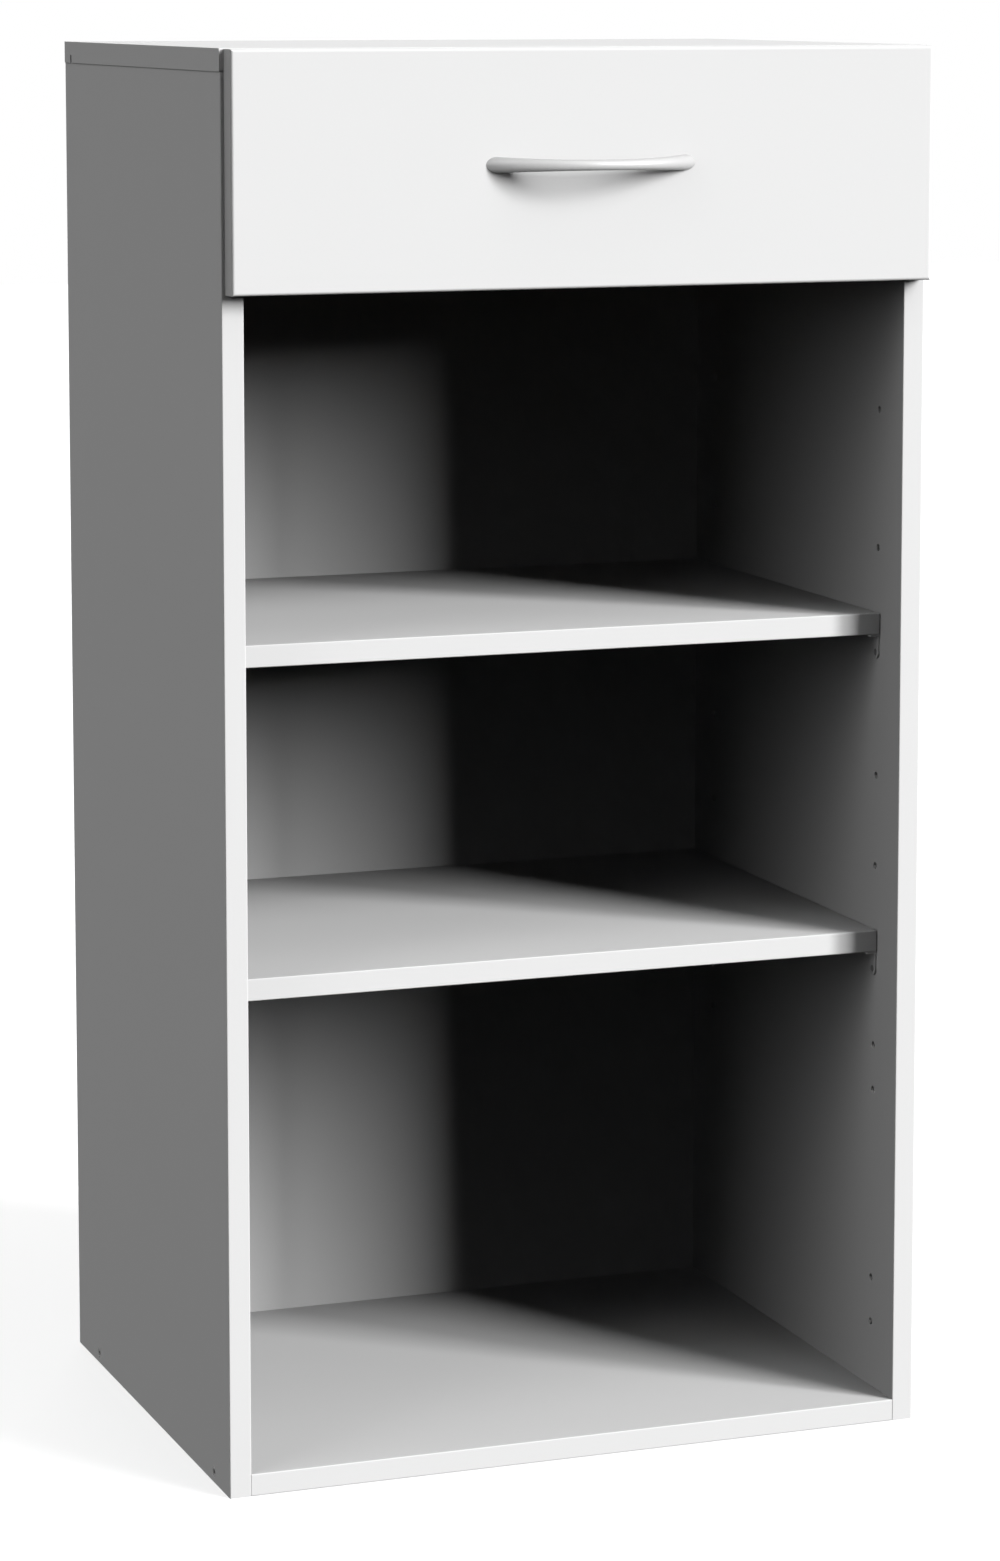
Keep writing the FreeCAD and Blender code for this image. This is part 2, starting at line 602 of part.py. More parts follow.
def runner_section(corners, y_start, y_end):
    """Bent sheet along Y; corners are (from the side panel, above the base of the channel, radius)."""
    face = rounded_face(corners, lambda a, b: Vector(INNER_X - a, y_start, CHANNEL_BASE_Z + b))
    return face.extrude(REARWARD * (y_end - y_start))


def stop_ridge():
    """Ridge pressed up across the lower flange, where the drawer's roller comes to rest."""
    roller_y = DRAWER_ROLLER_Y - DRAWER_TRAVEL
    flange_to_axle = DRAWER_ROLLER_Z - (CHANNEL_BASE_Z + STEEL)
    reach = math.sqrt(ROLLER_RADIUS ** 2 - (flange_to_axle - STOP_HEIGHT) ** 2)
    rear_y = roller_y - reach - STOP_GAP
    outer_x = INNER_X - STEEL - BEND_RADIUS
    inner_x = INNER_X - RUNNER_WIDTH + STEEL + SLIDE_GAP
    base_z = CHANNEL_BASE_Z + STEEL
    profile = [(rear_y, base_z, 0), (rear_y, base_z + STOP_HEIGHT, STOP_ROUNDING),
               (rear_y - STOP_RAMP, base_z, 0)]
    face = rounded_face(profile, lambda a, b: Vector(inner_x, a, b))
    return face.extrude(RIGHT * (outer_x - inner_x))


def cabinet_runner():
    """C channel screwed to the side panel; its upper flange ends behind the front roller."""
    lower = RUNNER_WIDTH - STEEL - SLIDE_GAP
    upper = CHANNEL_TOP_FLANGE
    height = CHANNEL_HEIGHT
    outside = BEND_RADIUS + STEEL
    corners = [(0, 0, outside), (lower, 0, 0), (lower, STEEL, 0), (STEEL, STEEL, BEND_RADIUS),
               (STEEL, height - STEEL, BEND_RADIUS), (upper, height - STEEL, 0), (upper, height, 0),
               (0, height, outside)]
    channel = runner_section(corners, CHANNEL_FRONT_Y, CHANNEL_REAR_Y)
    channel = channel.fuse(stop_ridge())
    roller_room_y = DRAWER_ROLLER_Y - DRAWER_TRAVEL - STEEL
    clear_x = (INNER_X - RUNNER_WIDTH, INNER_X - STEEL)
    clear_z = (CHANNEL_BASE_Z + height - outside, CHANNEL_BASE_Z + height + OVERSHOOT)
    cutters = [box(clear_x, (CHANNEL_FRONT_Y - OVERSHOOT, roller_room_y), clear_z)]
    cutters += [wood_screw_bore(start, RIGHT, CHANNEL_SCREW_LENGTH) for start in channel_screw_starts()]
    axle_start = Vector(INNER_X, CABINET_ROLLER_Y, CABINET_ROLLER_Z)
    cutters.append(cylinder(axle_start, LEFT, AXLE_RADIUS + FIT, 2 * STEEL))
    return channel.cut(cutters)


def drawer_runner():
    """Rail under the drawer side, with the flange that rides on the front roller of the cabinet."""
    ledge_z = CHANNEL_DROP - STEEL
    flange_z = CHANNEL_HEIGHT + FLANGE_GAP
    outside = BEND_RADIUS + STEEL
    web = RUNNER_WIDTH
    ledge = web + RAIL_LEDGE
    corners = [(ledge, ledge_z, 0), (web - STEEL, ledge_z, outside), (web - STEEL, flange_z, BEND_RADIUS),
               (RAIL_EDGE_GAP, flange_z, 0), (RAIL_EDGE_GAP, flange_z + STEEL, 0),
               (web, flange_z + STEEL, outside), (web, ledge_z + STEEL, BEND_RADIUS),
               (ledge, ledge_z + STEEL, 0)]
    rail = runner_section(corners, RAIL_FRONT_Y, BOX_REAR_Y)
    axle_start = Vector(BOX_OUTER_X, DRAWER_ROLLER_Y, DRAWER_ROLLER_Z)
    cutters = [cylinder(axle_start, RIGHT, AXLE_RADIUS + FIT, 2 * STEEL)]
    cutters += [rail_screw_bore(start) for start in rail_screw_starts()]
    return rail.cut(cutters)


def rail_screw_starts():
    """Underside of the ledge, where the screws go up into the drawer side."""
    x = BOX_OUTER_X - RAIL_SCREW_INSET
    z = BOX_BOTTOM_Z - STEEL
    return [Vector(x, y, z) for y in (RAIL_FRONT_Y + RAIL_SCREW_MARGIN, BOX_REAR_Y - RAIL_SCREW_MARGIN)]


def rail_screw(start):
    """Pan-head screw with its head under the ledge."""
    profile = [(-RAIL_SCREW_HEAD_LENGTH, RAIL_SCREW_HEAD_RADIUS * 0.7),
               (-RAIL_SCREW_HEAD_LENGTH * 0.5, RAIL_SCREW_HEAD_RADIUS), (0, RAIL_SCREW_HEAD_RADIUS),
               (0, WOOD_SCREW_RADIUS), (RAIL_SCREW_REACH - WOOD_SCREW_RADIUS, WOOD_SCREW_RADIUS),
               (RAIL_SCREW_REACH, WOOD_SCREW_RADIUS / 4)]
    return turned(profile, start, UP)


def rail_screw_bore(start):
    reach = RAIL_SCREW_REACH + OVERSHOOT + FLUSH_GAP
    return cylinder(start - UP * OVERSHOOT, UP, WOOD_SCREW_RADIUS + FIT, reach)


def roller(start, direction):
    """Wheel with a recessed web on both sides, from its inner face outwards."""
    bore = AXLE_RADIUS + FIT
    rim = ROLLER_RADIUS - ROLLER_RIM
    shoulder = ROLLER_RADIUS - ROLLER_CHAMFER
    near, far = 0.0, ROLLER_WIDTH
    outline = [(near, bore), (near, ROLLER_HUB_RADIUS), (near + ROLLER_RECESS, ROLLER_HUB_RADIUS),
               (near + ROLLER_RECESS, rim), (near, rim), (near, shoulder),
               (near + ROLLER_CHAMFER, ROLLER_RADIUS), (far - ROLLER_CHAMFER, ROLLER_RADIUS),
               (far, shoulder), (far, rim), (far - ROLLER_RECESS, rim),
               (far - ROLLER_RECESS, ROLLER_HUB_RADIUS), (far, ROLLER_HUB_RADIUS), (far, bore)]
    return revolved(outline, start, direction)


def axle(start, direction):
    """Rivet through the sheet and the roller, with a flat head outside the roller."""
    head_start = STEEL + ROLLER_WIDTH + 2 * ROLLER_SIDE_PLAY
    profile = [(FLUSH_GAP, AXLE_RADIUS), (head_start, AXLE_RADIUS), (head_start, AXLE_HEAD_RADIUS),
               (head_start + AXLE_HEAD_LENGTH * 0.5, AXLE_HEAD_RADIUS),
               (head_start + AXLE_HEAD_LENGTH, AXLE_HEAD_RADIUS * 0.75)]
    return turned(profile, start, direction)


def cabinet_roller():
    start = Vector(INNER_X - STEEL - ROLLER_SIDE_PLAY, CABINET_ROLLER_Y, CABINET_ROLLER_Z)
    return roller(start, LEFT)


def cabinet_roller_pin():
    return axle(Vector(INNER_X, CABINET_ROLLER_Y, CABINET_ROLLER_Z), LEFT)


def drawer_roller():
    start = Vector(BOX_OUTER_X + STEEL + ROLLER_SIDE_PLAY, DRAWER_ROLLER_Y, DRAWER_ROLLER_Z)
    return roller(start, RIGHT)


def drawer_roller_pin():
    return axle(Vector(BOX_OUTER_X, DRAWER_ROLLER_Y, DRAWER_ROLLER_Z), RIGHT)


# ------------------------------------------------------------------ drawer
def box_groove_range():
    low = BOX_BOTTOM_Z + BOX_GROOVE_HEIGHT
    return low, low + BOX_BOTTOM_THICKNESS + 2 * GROOVE_PLAY


def box_cam_crossings():
    """The two cam bolts of a drawer side, a quarter of its height from its edges."""
    quarter = (BOX_TOP_Z - BOX_BOTTOM_Z) / 4
    return [Vector(BOX_MIDDLE_X, FRONT_REAR_Y, z) for z in (BOX_BOTTOM_Z + quarter, BOX_TOP_Z - quarter)]


def box_dowel_crossings():
    return [Vector(BOX_MIDDLE_X, FRONT_REAR_Y, (BOX_BOTTOM_Z + BOX_TOP_Z) / 2)]


def box_cam_face():
    return LEFT * (BOX_SIDE_THICKNESS / 2)


def box_back_screw_starts():
    rail_top_z = RAIL_FLANGE_Z + STEEL
    heights = (rail_top_z + BACK_SCREW_ABOVE_RAIL, BOX_TOP_Z - BACK_SCREW_EDGE)
    y = (BOX_BACK_FRONT_Y + BOX_REAR_Y) / 2
    return [Vector(BOX_OUTER_X, y, z) for z in heights]


def box_nail_starts():
    reach = BOX_INNER_X - NAIL_EDGE_MARGIN
    y = (BOX_BACK_FRONT_Y + BOX_REAR_Y) / 2
    z = BOX_FLOOR_Z - BOX_BOTTOM_THICKNESS
    return [Vector(x, y, z) for x in spread(-reach, reach, BOX_NAIL_COUNT)]


def drawer_side():
    """Right drawer side, with the groove for the bottom and its bores."""
    side = box((BOX_INNER_X, BOX_OUTER_X), (FRONT_REAR_Y, BOX_REAR_Y), (BOX_BOTTOM_Z, BOX_TOP_Z))
    rounded = edges_at(side, x=BOX_INNER_X, z=BOX_TOP_Z) + edges_at(side, x=BOX_OUTER_X, z=BOX_TOP_Z)
    rounded += edges_at(side, x=BOX_OUTER_X, z=BOX_BOTTOM_Z)
    side = side.makeFillet(BAND_RADIUS, rounded)
    groove_x = (BOX_INNER_X - OVERSHOOT, BOX_INNER_X + BOX_GROOVE_DEPTH)
    groove_y = (FRONT_REAR_Y - OVERSHOOT, BOX_REAR_Y + OVERSHOOT)
    cutters = [box(groove_x, groove_y, box_groove_range())]
    for crossing in box_cam_crossings():
        cutters.append(cam_bore(crossing, REARWARD, box_cam_face(), BOX_CAM_DEPTH))
        cutters.append(cam_bolt_end_bore(crossing, REARWARD))
    cutters += [box_dowel_bore(crossing) for crossing in box_dowel_crossings()]
    cutters += [wood_screw_bore(start, LEFT, BACK_SCREW_LENGTH) for start in box_back_screw_starts()]
    cutters += [rail_screw_bore(start) for start in rail_screw_starts()]
    return side.cut(cutters)


def box_dowel_bore(crossing):
    return dowel_bore(crossing, FORWARD, BOX_DOWEL_RADIUS, BOX_DOWEL_LENGTH)


def box_dowel(crossing):
    return dowel(crossing, FORWARD, BOX_DOWEL_RADIUS, BOX_DOWEL_LENGTH)


def drawer_back():
    """Back of the drawer: stands on the drawer bottom, between the sides."""
    back = box((-BOX_INNER_X, BOX_INNER_X), (BOX_BACK_FRONT_Y, BOX_REAR_Y), (BOX_FLOOR_Z, BOX_TOP_Z))
    rounded = edges_at(back, y=BOX_BACK_FRONT_Y, z=BOX_TOP_Z) + edges_at(back, y=BOX_REAR_Y, z=BOX_TOP_Z)
    back = back.makeFillet(BAND_RADIUS, rounded)
    screws = [wood_screw_bore(start, LEFT, BACK_SCREW_LENGTH) for start in box_back_screw_starts()]
    nails = [nail_bore(start, UP) for start in box_nail_starts()]
    return back.cut([on_both_sides(screws)] + nails)


def drawer_bottom():
    """Thin bottom, in the grooves of the sides and the front, nailed up into the drawer back."""
    half_width = BOX_INNER_X + BOX_GROOVE_DEPTH - GROOVE_END_PLAY
    front_y = FRONT_REAR_Y - BOX_GROOVE_DEPTH + GROOVE_END_PLAY
    z_range = (BOX_FLOOR_Z - BOX_BOTTOM_THICKNESS, BOX_FLOOR_Z)
    panel = box((-half_width, half_width), (front_y, BOX_REAR_Y), z_range)
    return panel.cut([nail_bore(start, UP) for start in box_nail_starts()])


def handle_screw_starts():
    return [Vector(x, FRONT_REAR_Y, HANDLE_Z) for x in (-HANDLE_SPACING / 2, HANDLE_SPACING / 2)]


def drawer_front():
    """Front of the drawer, its four front edges rounded."""
    x_range = (-FRONT_HALF_WIDTH, FRONT_HALF_WIDTH)
    front = box(x_range, (FRONT_FACE_Y, FRONT_REAR_Y), (FRONT_BOTTOM_Z, FRONT_TOP_Z))
    front = front.makeFillet(FRONT_ROUNDING, edges_at(front, y=FRONT_FACE_Y))
    groove_x = (-BOX_INNER_X - BOX_GROOVE_DEPTH, BOX_INNER_X + BOX_GROOVE_DEPTH)
    groove_y = (FRONT_REAR_Y - BOX_GROOVE_DEPTH, FRONT_REAR_Y + OVERSHOOT)
    bores = [cam_bolt_anchor_bore(crossing, REARWARD) for crossing in box_cam_crossings()]
    bores += [box_dowel_bore(crossing) for crossing in box_dowel_crossings()]
    cutters = [box(groove_x, groove_y, box_groove_range()), on_both_sides(bores)]
    bore_radius = HANDLE_SCREW_RADIUS + FIT
    bore_length = FRONT_THICKNESS + 2 * OVERSHOOT
    for start in handle_screw_starts():
        cutters.append(cylinder(start + REARWARD * OVERSHOOT, FORWARD, bore_radius, bore_length))
    return front.cut(cutters)


def drawer_handle():
    """Bow handle: a round bar on an arc, thinner in the middle, cut flat where it meets the front."""
    half_span = HANDLE_SPACING / 2 + HANDLE_FOOT_OFFSET
    arc_radius = (half_span ** 2 + HANDLE_REACH ** 2) / (2 * HANDLE_REACH)
    centre = Vector(0, FRONT_FACE_Y - HANDLE_REACH + arc_radius, HANDLE_Z)
    foot_angle = math.asin(half_span / arc_radius)
    end_angle = foot_angle + HANDLE_END_DIAMETER / arc_radius
    sections = []
    for angle in spread(-end_angle, end_angle, HANDLE_SECTION_COUNT):
        outward = Vector(math.sin(angle), -math.cos(angle), 0)
        along = Vector(math.cos(angle), math.sin(angle), 0)
        thickening = min(abs(angle) / foot_angle, 1.0) ** 2
        diameter = HANDLE_MIDDLE_DIAMETER + (HANDLE_END_DIAMETER - HANDLE_MIDDLE_DIAMETER) * thickening
        circle = Part.makeCircle(diameter / 2, centre + outward * arc_radius, along)
        sections.append(Part.Wire(circle))
    bar = Part.makeLoft(sections, True, False)
    reach = half_span + HANDLE_END_DIAMETER * 2
    wall = box((-reach, reach), (FRONT_FACE_Y, FRONT_FACE_Y + arc_radius),
               (HANDLE_Z - HANDLE_END_DIAMETER, HANDLE_Z + HANDLE_END_DIAMETER))
    depth = HANDLE_SCREW_DEPTH + HOLE_END_PLAY
    thread_radius = HANDLE_SCREW_RADIUS + FIT
    threads = [cylinder(Vector(start.x, FRONT_FACE_Y, HANDLE_Z), FORWARD, thread_radius, depth)
               for start in handle_screw_starts()]
    return bar.cut([wall] + threads)


def handle_screw(start):
    """Machine screw from inside the drawer, through the front into a foot of the handle."""
    reach = FRONT_THICKNESS + HANDLE_SCREW_DEPTH
    profile = [(-HANDLE_SCREW_HEAD_LENGTH, HANDLE_SCREW_HEAD_RADIUS * 0.6),
               (-HANDLE_SCREW_HEAD_LENGTH * 0.5, HANDLE_SCREW_HEAD_RADIUS), (0, HANDLE_SCREW_HEAD_RADIUS),
               (0, HANDLE_SCREW_RADIUS), (reach, HANDLE_SCREW_RADIUS)]
    return turned(profile, start, FORWARD)


# ------------------------------------------------------------------ nodes
def carcass_nodes():
    side = side_panel()
    return {
        "left_side_panel": mirrored(side),
        "right_side_panel": side,
        "top_panel": top_panel(),
        "bottom_panel": bottom_panel(),
        "back_panel": back_panel(),
        "lower_shelf": shelf(LOWER_SHELF_HEIGHT),
        "upper_shelf": shelf(UPPER_SHELF_HEIGHT),
        "lower_shelf_supports": shelf_supports(LOWER_SHELF_HEIGHT),
        "upper_shelf_supports": shelf_supports(UPPER_SHELF_HEIGHT),
        "bottom_screws": on_both_sides([confirmat(start) for start in confirmat_starts()]),
        "bottom_dowels": on_both_sides([dowel(crossing, RIGHT) for crossing in bottom_dowel_crossings()]),
        "top_dowels": on_both_sides([dowel(crossing, UP) for crossing in top_dowel_crossings()]),
        "top_cam_bolts": on_both_sides([cam_bolt(crossing, DOWN) for crossing in top_cam_crossings()]),
        "top_cams": on_both_sides([cam(crossing, DOWN, top_cam_face(), CAM_DEPTH)
                                   for crossing in top_cam_crossings()]),
        "back_panel_nails": Part.makeCompound([nail(start, FORWARD) for start in back_nail_starts()]),
    }


def cabinet_runner_nodes():
    runner = cabinet_runner()
    wheel = cabinet_roller()
    return {
        "left_cabinet_runner": mirrored(runner),
        "right_cabinet_runner": runner,
        "cabinet_runner_screws": on_both_sides([wood_screw(start, RIGHT, CHANNEL_SCREW_LENGTH)
                                                for start in channel_screw_starts()]),
        "cabinet_roller_pins": on_both_sides([cabinet_roller_pin()]),
        "left_cabinet_roller": mirrored(wheel),
        "right_cabinet_roller": wheel,
    }


def drawer_nodes():
    side = drawer_side()
    return {
        "drawer_front": drawer_front(),
        "left_drawer_side": mirrored(side),
        "right_drawer_side": side,
        "drawer_back": drawer_back(),
        "drawer_bottom": drawer_bottom(),
        "drawer_handle": drawer_handle(),
        "handle_screws": Part.makeCompound([handle_screw(start) for start in handle_screw_starts()]),
        "drawer_cams": on_both_sides([cam(crossing, REARWARD, box_cam_face(), BOX_CAM_DEPTH)
                                      for crossing in box_cam_crossings()]),
        "drawer_cam_bolts": on_both_sides([cam_bolt(crossing, REARWARD) for crossing in box_cam_crossings()]),
        "drawer_dowels": on_both_sides([box_dowel(crossing) for crossing in box_dowel_crossings()]),
        "drawer_back_screws": on_both_sides([wood_screw(start, LEFT, BACK_SCREW_LENGTH)
                                             for start in box_back_screw_starts()]),
        "drawer_bottom_nails": Part.makeCompound([nail(start, UP) for start in box_nail_starts()]),
    }


def drawer_runner_nodes():
    runner = drawer_runner()
    wheel = drawer_roller()
    return {
        "left_drawer_runner": mirrored(runner),
        "right_drawer_runner": runner,
        "drawer_runner_screws": on_both_sides([rail_screw(start) for start in rail_screw_starts()]),
        "drawer_roller_pins": on_both_sides([drawer_roller_pin()]),
        "left_drawer_roller": mirrored(wheel),
        "right_drawer_roller": wheel,
    }


NODES = {**carcass_nodes(), **cabinet_runner_nodes(), **drawer_nodes(), **drawer_runner_nodes()}

os.makedirs("parts", exist_ok=True)
for name, shape in NODES.items():
    if not shape.isValid():
        raise ValueError(name + " is not a valid shape")
    shape.exportStep("parts/" + name + ".step")
print(len(NODES), "nodes,", sum(len(shape.Solids) for shape in NODES.values()), "solids")
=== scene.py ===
import math

import bpy
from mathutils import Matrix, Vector


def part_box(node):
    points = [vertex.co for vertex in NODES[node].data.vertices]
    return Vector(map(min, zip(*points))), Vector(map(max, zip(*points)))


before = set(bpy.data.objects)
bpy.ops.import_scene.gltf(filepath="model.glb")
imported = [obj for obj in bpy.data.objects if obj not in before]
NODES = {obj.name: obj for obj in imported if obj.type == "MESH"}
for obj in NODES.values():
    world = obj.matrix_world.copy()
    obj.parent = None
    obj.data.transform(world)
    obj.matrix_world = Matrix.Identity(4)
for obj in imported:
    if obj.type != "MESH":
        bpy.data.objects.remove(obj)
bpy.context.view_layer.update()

# An open shelf unit of white laminated chipboard with one drawer under its top.
#
# Every CAD node stays as it is and gets a procedural material; the scene adds no piece.
# Metres, in the row frame: +X to the right as seen from the front, +Y towards the wall, +Z up.

MM = 0.001

# ------------------------------------------------------------------ camera
IMAGE_HEIGHT = 1561                         # pixels along the long side of the image
SENSOR = 36.0                               # millimetres along the same side
FOCAL_PIXELS = 4594.0
CAMERA_PLACE = Vector((-1.1113, -3.0255, 0.9998))
CAMERA_YAW = 20.37                          # degrees, turned from +Y towards +X
CAMERA_TILT = 6.96                          # degrees, downwards
CAMERA_SHIFT_Y = -0.15                      # share of the long side

# ------------------------------------------------------------------ stage and light
FLOOR_HALF = 12.0                           # half the side of the square floor
FLOOR_TONE = 0.6                            # share of the lamps' light that the floor reflects
FLOOR_GLOW = 0.74                           # light that the camera sees come from the floor itself
AMBIENT = 0.026                             # even light from all sides, as the world's strength
LAMP_DISTANCE = 60.0                        # far enough for even light over the whole object
LAMP_AIM = Vector((0.0, 0.0, 0.48))         # the middle of the object

# Each lamp is a name, the azimuths and the elevations that it fills (degrees; azimuth 0 is in front
# and 90 on the right), and what it would add to a white surface that faces it.
LAMPS = (
    ("key", (28, 41.5), (8, 44), 0.565),
    ("key_core", (42.5, 50.5), (8, 32), 0.735),
    ("top", (1, 57), (47, 81), 0.099),
    ("left_fill", (-92, -51), (1, 70), 0.202),
    ("rear_fill", (150, 210), (22, 36), 0.34),
)

# ------------------------------------------------------------------ finishes
# Tones and colours are linear values. A sheen is the shader's specular level.
MELAMINE_WHITE = 0.87
LACQUER_WHITE = 0.84                        # drawer box and the white side of the hardboard
BOARD_SHEEN = 0.02
COAT_WHITE = 0.80                           # powder coat of the runners and the shelf supports
PIN_STEEL = 0.50
METAL_SHEEN = 0.5
HANDLE_TONE = 0.66
HANDLE_ROUGHNESS = 0.40
HANDLE_METALLIC = 0.15
HANDLE_SHEEN = 0.30
HANDLE_GRAIN = (0.06, 1.0, 1.0)             # brushed along X

CHIP_PALE = (0.52, 0.37, 0.22)
CHIP_BROWN = (0.36, 0.23, 0.125)
CHIP_DARK = (0.17, 0.10, 0.055)
FIBRE_PALE = (0.44, 0.30, 0.18)
FIBRE_BROWN = (0.30, 0.185, 0.10)
FIBRE_DARK = (0.24, 0.15, 0.085)
NYLON_TONES = ((0.70, 0.70, 0.67), (0.78, 0.78, 0.75))
BEECH_TONES = ((0.60, 0.42, 0.25), (0.42, 0.27, 0.15))

# ------------------------------------------------------------------ where a finish changes
BAND = 0.5 * MM                             # thickness of the edge bands
BAND_LINE = 0.05 * MM                       # width of the line where a band meets a face
SEAM_SHADE = 0.35 * MM                       # width of the painted shade line on the sides just under the top's overhang
LINE_DARKENING = 0.28                       # share of the tone that such a line takes away
RAW_REACH = 0.2 * MM                        # depth to which a raw edge shows round its corners
SUPPORT_END_RADIUS = 4.5 * MM               # round lower end of a support's leg, about its pin
SUPPORT_PIN_RADIUS = 2.4 * MM

FACING = 0.8                                # cosine from which a surface faces an axis
EDGE_ON = 0.2                               # cosine up to which it lies along the axis


# ------------------------------------------------------------------ node-tree helpers
class Tree:
    """A node tree being built: each call adds a node, links its inputs and returns its output."""

    def __init__(self, name):
        """The tree of a new material."""
        self.material = bpy.data.materials.new(name)
        self.material.use_nodes = True
        self.take(self.material.node_tree)
        self.place = self.add("ShaderNodeTexCoord").outputs["Object"]
        self.normal = self.add("ShaderNodeNewGeometry").outputs["True Normal"]

    @classmethod
    def over(cls, node_tree):
        """The same calls over the emptied node tree of a lamp or the world."""
        tree = cls.__new__(cls)
        tree.take(node_tree)
        return tree

    def take(self, node_tree):
        """Empties a node tree to build in it."""
        self.nodes = node_tree.nodes
        self.links = node_tree.links
        self.nodes.clear()

    def add(self, kind, **settings):
        node = self.nodes.new(kind)
        for name, value in settings.items():
            setattr(node, name, value)
        return node

    def feed(self, socket, value):
        """Sets a socket to a number or colour, or links it to an output."""
        if isinstance(value, bpy.types.NodeSocket):
            self.links.new(value, socket)
        elif isinstance(value, tuple) and len(value) == 3 and len(socket.default_value) == 4:
            socket.default_value = (*value, 1.0)
        else:
            socket.default_value = value

    def math(self, operation, *values):
        node = self.add("ShaderNodeMath", operation=operation)
        for socket, value in zip(node.inputs, values):
            self.feed(socket, value)
        return node.outputs[0]

    def scaled(self, value, factor, start):
        """start plus factor times value."""
        return self.math("MULTIPLY_ADD", value, factor, start)

    def varied(self, middle, noise, amount):
        """A value around middle that a noise between 0 and 1 moves over a range of amount."""
        return self.scaled(self.math("SUBTRACT", noise, 0.5), amount, middle)

    def axis(self, vector, letter):
        node = self.add("ShaderNodeSeparateXYZ")
        self.feed(node.inputs[0], vector)
        return node.outputs[letter]

    def places_over(self, size, density):
        """The place in steps of size metres, density times as many along each axis."""
        node = self.add("ShaderNodeVectorMath", operation="MULTIPLY")
        self.feed(node.inputs[0], self.place)
        node.inputs[1].default_value = tuple(share / size for share in density)
        return node.outputs[0]

    def noise(self, size, detail=2.0, density=(1.0, 1.0, 1.0), roughness=0.5):
        """Noise between 0 and 1 whose blobs are about size metres wide where density is 1."""
        node = self.add("ShaderNodeTexNoise")
        self.feed(node.inputs["Vector"], self.places_over(size, density))
        node.inputs["Scale"].default_value = 1.0
        node.inputs["Detail"].default_value = detail
        node.inputs["Roughness"].default_value = roughness
        return node.outputs[0]

    def cells(self, size, density):
        """Random grey per Voronoi cell of about size metres where density is 1."""
        node = self.add("ShaderNodeTexVoronoi")
        self.feed(node.inputs["Vector"], self.places_over(size, density))
        node.inputs["Scale"].default_value = 1.0
        return self.axis(node.outputs["Color"], "X")

    def fading(self, value, low, high):
        """1 up to low, falling to 0 at high."""
        node = self.add("ShaderNodeMapRange")
        self.feed(node.inputs["Value"], value)
        node.inputs["From Min"].default_value = low
        node.inputs["From Max"].default_value = high
        node.inputs["To Min"].default_value = 1.0
        node.inputs["To Max"].default_value = 0.0
        return node.outputs["Result"]

    def mix(self, factor, first, second):
        node = self.add("ShaderNodeMix", data_type="RGBA")
        named = {socket.identifier: socket for socket in node.inputs}
        self.feed(named["Factor_Float"], factor)
        self.feed(named["A_Color"], first)
        self.feed(named["B_Color"], second)
        return next(socket for socket in node.outputs if socket.identifier == "Result_Color")

    def bump(self, height, depth):
        """Bump of the given depth in metres for a height between 0 and 1."""
        node = self.add("ShaderNodeBump")
        node.inputs["Strength"].default_value = 1.0
        node.inputs["Distance"].default_value = depth
        self.feed(node.inputs["Height"], height)
        return node.outputs[0]

    def grey(self, value):
        node = self.add("ShaderNodeCombineColor")
        for socket in node.inputs[:3]:
            self.feed(socket, value)
        return node.outputs[0]

    def finish(self, colour, roughness, bump, metallic=0.0, **extra):
        shader = self.add("ShaderNodeBsdfPrincipled")
        self.feed(shader.inputs["Base Color"], colour)
        self.feed(shader.inputs["Roughness"], roughness)
        self.feed(shader.inputs["Metallic"], metallic)
        self.feed(shader.inputs["Normal"], bump)
        for name, value in extra.items():
            shader.inputs[name.replace("_", " ")].default_value = value
        self.show(shader.outputs[0], "ShaderNodeOutputMaterial")
        return self.material

    def show(self, surface, kind):
        """Links a shader to the tree's output node, of the given kind."""
        self.feed(self.add(kind).inputs["Surface"], surface)


def facing(tree, letter, sign):
    """1 on surfaces that face along the given axis, else 0."""
    along = tree.math("MULTIPLY", tree.axis(tree.normal, letter), sign)
    return tree.math("GREATER_THAN", along, FACING)


def lying_along(tree, letter):
    """1 on surfaces that run along the given axis, else 0."""
    across = tree.math("ABSOLUTE", tree.axis(tree.normal, letter))
    return tree.math("LESS_THAN", across, EDGE_ON)


def near(tree, letter, place, width):
    """1 within width of a plane across the given axis, fading to 0 over as much again."""
    offset = tree.math("SUBTRACT", tree.axis(tree.place, letter), place)
    return tree.fading(tree.math("ABSOLUTE", offset), width, 2 * width)


# ------------------------------------------------------------------ materials
def melamine_face(tree, white):
    """Tone, roughness and height of a white melamine face with its fine pearl texture."""
    pearl_size, pearl_tone = 0.9 * MM, 0.02
    cloud_size, cloud_tone = 60 * MM, 0.008
    smoothest, pearl_roughness = 0.66, 0.12
    pearl = tree.noise(pearl_size, detail=3.0, roughness=0.6)
    cloud = tree.noise(cloud_size)
    tone = tree.varied(tree.varied(white, pearl, pearl_tone), cloud, cloud_tone)
    return tone, tree.scaled(pearl, pearl_roughness, smoothest), pearl


def raw_chipboard(tree):
    """Colour and height of a raw chipboard edge: flat chips of two tones with dark gaps."""
    chip_size, chip_density = 2.2 * MM, (0.55, 0.55, 1.6)
    fine_size, gap_start, gap_strength = 0.7 * MM, 0.60, 0.7
    chips = tree.cells(chip_size, chip_density)
    fines = tree.noise(fine_size, detail=3.0, roughness=0.7)
    gaps = tree.math("MULTIPLY", tree.math("GREATER_THAN", fines, gap_start), gap_strength)
    return tree.mix(gaps, tree.mix(chips, CHIP_BROWN, CHIP_PALE), CHIP_DARK), fines


